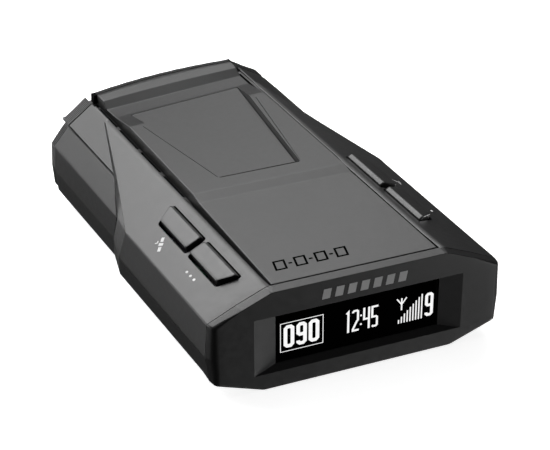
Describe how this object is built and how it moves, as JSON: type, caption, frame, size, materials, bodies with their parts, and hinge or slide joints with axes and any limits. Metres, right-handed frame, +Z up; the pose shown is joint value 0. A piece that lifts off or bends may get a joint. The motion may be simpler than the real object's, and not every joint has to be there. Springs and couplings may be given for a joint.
{
  "type": "radar detector",
  "caption": "Dashboard radar detector with a turned black display face, sloping wings with push buttons, and a bracket seat in its roof.",
  "frame": {"origin": "middle of the base, under the centre of the bounding box", "axes": "+X to the driver's right, -Y towards the driver (display end), +Y towards the road (horn end), +Z up"},
  "size_m": [0.0716, 0.1045, 0.0274],
  "materials": {
    "housing_plastic": "fine spark texture",
    "panel_plastic": "fine spark texture",
    "bezel_plastic": "satin",
    "key_plastic": "satin",
    "window_plastic": "polished",
    "board_green": "solder resist",
    "chip_black": "moulded",
    "cast_metal": "die cast",
    "steel": "zinc plated",
    "ceramic": "fired",
    "flex_amber": "film",
    "cone_black": "doped paper",
    "lens_clear": "polished"
  },
  "bodies": {
    "housing": {"backup_capacitor": "steel", "board_screw_left": "steel", "board_screw_right": "steel", "center_panel": "panel_plastic", "display_flex": "flex_amber", "display_module": "chip_black", "display_window": "window_plastic", "front_bezel": "bezel_plastic", "gps_antenna": "ceramic", "housing_screw_left_front": "steel", "housing_screw_left_rear": "steel", "housing_screw_right_front": "steel", "housing_screw_right_rear": "steel", "key_board_left": "board_green", "key_board_right": "board_green", "laser_lens": "lens_clear", "laser_sensor": "chip_black", "lower_housing": "housing_plastic", "main_board": "board_green", "nose_cap": "housing_plastic", "nose_window": "window_plastic", "power_jack": "chip_black", "processor_chip": "chip_black", "radar_horn": "cast_metal", "rf_board": "board_green", "rf_shield": "steel", "speaker_cone": "cone_black", "speaker_frame": "chip_black", "speaker_magnet": "steel", "switch_left_front": "chip_black", "switch_left_rear": "chip_black", "switch_right_front": "chip_black", "switch_right_rear": "chip_black", "upper_housing": "housing_plastic"},
    "key_left_rear": {"button_left_rear": "key_plastic", "plunger_left_rear": "chip_black"},
    "key_left_front": {"button_left_front": "key_plastic", "plunger_left_front": "chip_black"},
    "key_right_rear": {"button_right_rear": "key_plastic", "plunger_right_rear": "chip_black"},
    "key_right_front": {"button_right_front": "key_plastic", "plunger_right_front": "chip_black"}
  },
  "joints": [
    {"name": "press_left_rear", "type": "slide", "parent": "housing", "child": "key_left_rear", "axis": [0.397, 0, -0.9178], "range_m": [0, 0.0006], "stiffness_N_per_m": 1200},
    {"name": "press_left_front", "type": "slide", "parent": "housing", "child": "key_left_front", "axis": [0.397, 0, -0.9178], "range_m": [0, 0.0006], "stiffness_N_per_m": 1200},
    {"name": "press_right_rear", "type": "slide", "parent": "housing", "child": "key_right_rear", "axis": [-0.397, 0, -0.9178], "range_m": [0, 0.0006], "stiffness_N_per_m": 1200},
    {"name": "press_right_front", "type": "slide", "parent": "housing", "child": "key_right_front", "axis": [-0.397, 0, -0.9178], "range_m": [0, 0.0006], "stiffness_N_per_m": 1200}
  ]
}
